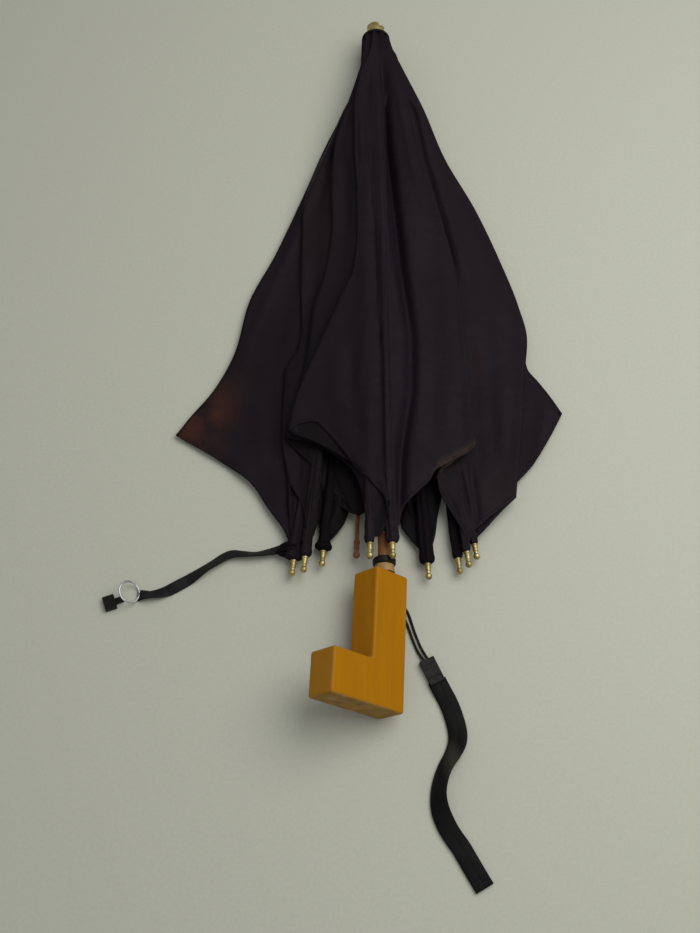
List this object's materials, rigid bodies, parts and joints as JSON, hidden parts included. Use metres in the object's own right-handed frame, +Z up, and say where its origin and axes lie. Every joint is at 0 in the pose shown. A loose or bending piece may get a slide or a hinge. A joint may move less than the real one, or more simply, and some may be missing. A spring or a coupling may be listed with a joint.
{
  "type": "broken umbrella",
  "caption": "Small closed stick umbrella lying on its side, its ferrule snapped and the cloth off a rib, with a wooden L-shaped handle, loose canopy, tie strap and wrist strap.",
  "frame": {"origin": "on the surface the umbrella lies on, under the middle of its box without the two straps", "axes": "+Y from the handle to the ferrule, along the shaft; +X to the right seen from above with the ferrule away from the viewer; +Z up"},
  "size_m": [0.3278, 0.7172, 0.0588],
  "materials": {
    "cloth": "worn dark aubergine nylon, faint moire",
    "webbing": "black woven tape",
    "handle_wood": "ochre lacquered wood, worn edges",
    "shaft_wood": "brown stained wood",
    "collar_wood": "light wood",
    "brass": "dull worn brass",
    "rib_steel": "rusty steel",
    "bright_steel": "dull plated steel",
    "black_plastic": "black, satin"
  },
  "bodies": {
    "umbrella": {"shaft": "shaft_wood", "ferrule": "brass", "rosette": "webbing", "top_notch": "bright_steel", "notch_wire": "bright_steel", "rib_clips": "brass", "runner": "bright_steel", "runner_wire": "bright_steel", "catch_pins": "bright_steel", "stop_pin": "bright_steel", "handle_ring": "black_plastic", "handle_collar": "collar_wood", "handle": "handle_wood", "wrist_cord_a": "webbing", "wrist_cord_b": "webbing", "cord_crimp": "black_plastic", "wrist_strap": "webbing", "canopy": "cloth", "tie_strap": "webbing", "tie_ring": "bright_steel", "tie_tab": "black_plastic", "rib_01": "rib_steel", "rib_02": "rib_steel", "rib_03": "rib_steel", "rib_04": "rib_steel", "rib_05": "rib_steel", "rib_06": "rib_steel", "rib_07": "rib_steel", "rib_08": "rib_steel", "rib_09": "rib_steel", "rib_10": "rib_steel", "rib_tip_01": "brass", "rib_tip_02": "brass", "rib_tip_03": "brass", "rib_tip_04": "brass", "rib_tip_05": "brass", "rib_tip_06": "brass", "rib_tip_07": "brass", "rib_tip_08": "brass", "rib_tip_09": "brass", "rib_tip_10": "brass", "stretcher_01": "rib_steel", "stretcher_02": "rib_steel", "stretcher_03": "rib_steel", "stretcher_04": "rib_steel", "stretcher_05": "rib_steel", "stretcher_06": "rib_steel", "stretcher_07": "rib_steel", "stretcher_08": "rib_steel", "stretcher_09": "rib_steel", "stretcher_10": "rib_steel"},
    "bottom_catch": {"bottom_catch": "rib_steel"},
    "top_catch": {"top_catch": "rib_steel"}
  },
  "joints": [
    {"name": "bottom_catch_press", "type": "hinge", "parent": "umbrella", "child": "bottom_catch", "pos_m": [0.0085, -0.1525, 0.018], "axis": [1, 0, 0], "range_deg": [0, 11], "stiffness_Nm_per_rad": 0.06},
    {"name": "top_catch_press", "type": "hinge", "parent": "umbrella", "child": "top_catch", "pos_m": [0.0085, 0.1635, 0.018], "axis": [1, 0, 0], "range_deg": [0, 11], "stiffness_Nm_per_rad": 0.06}
  ]
}
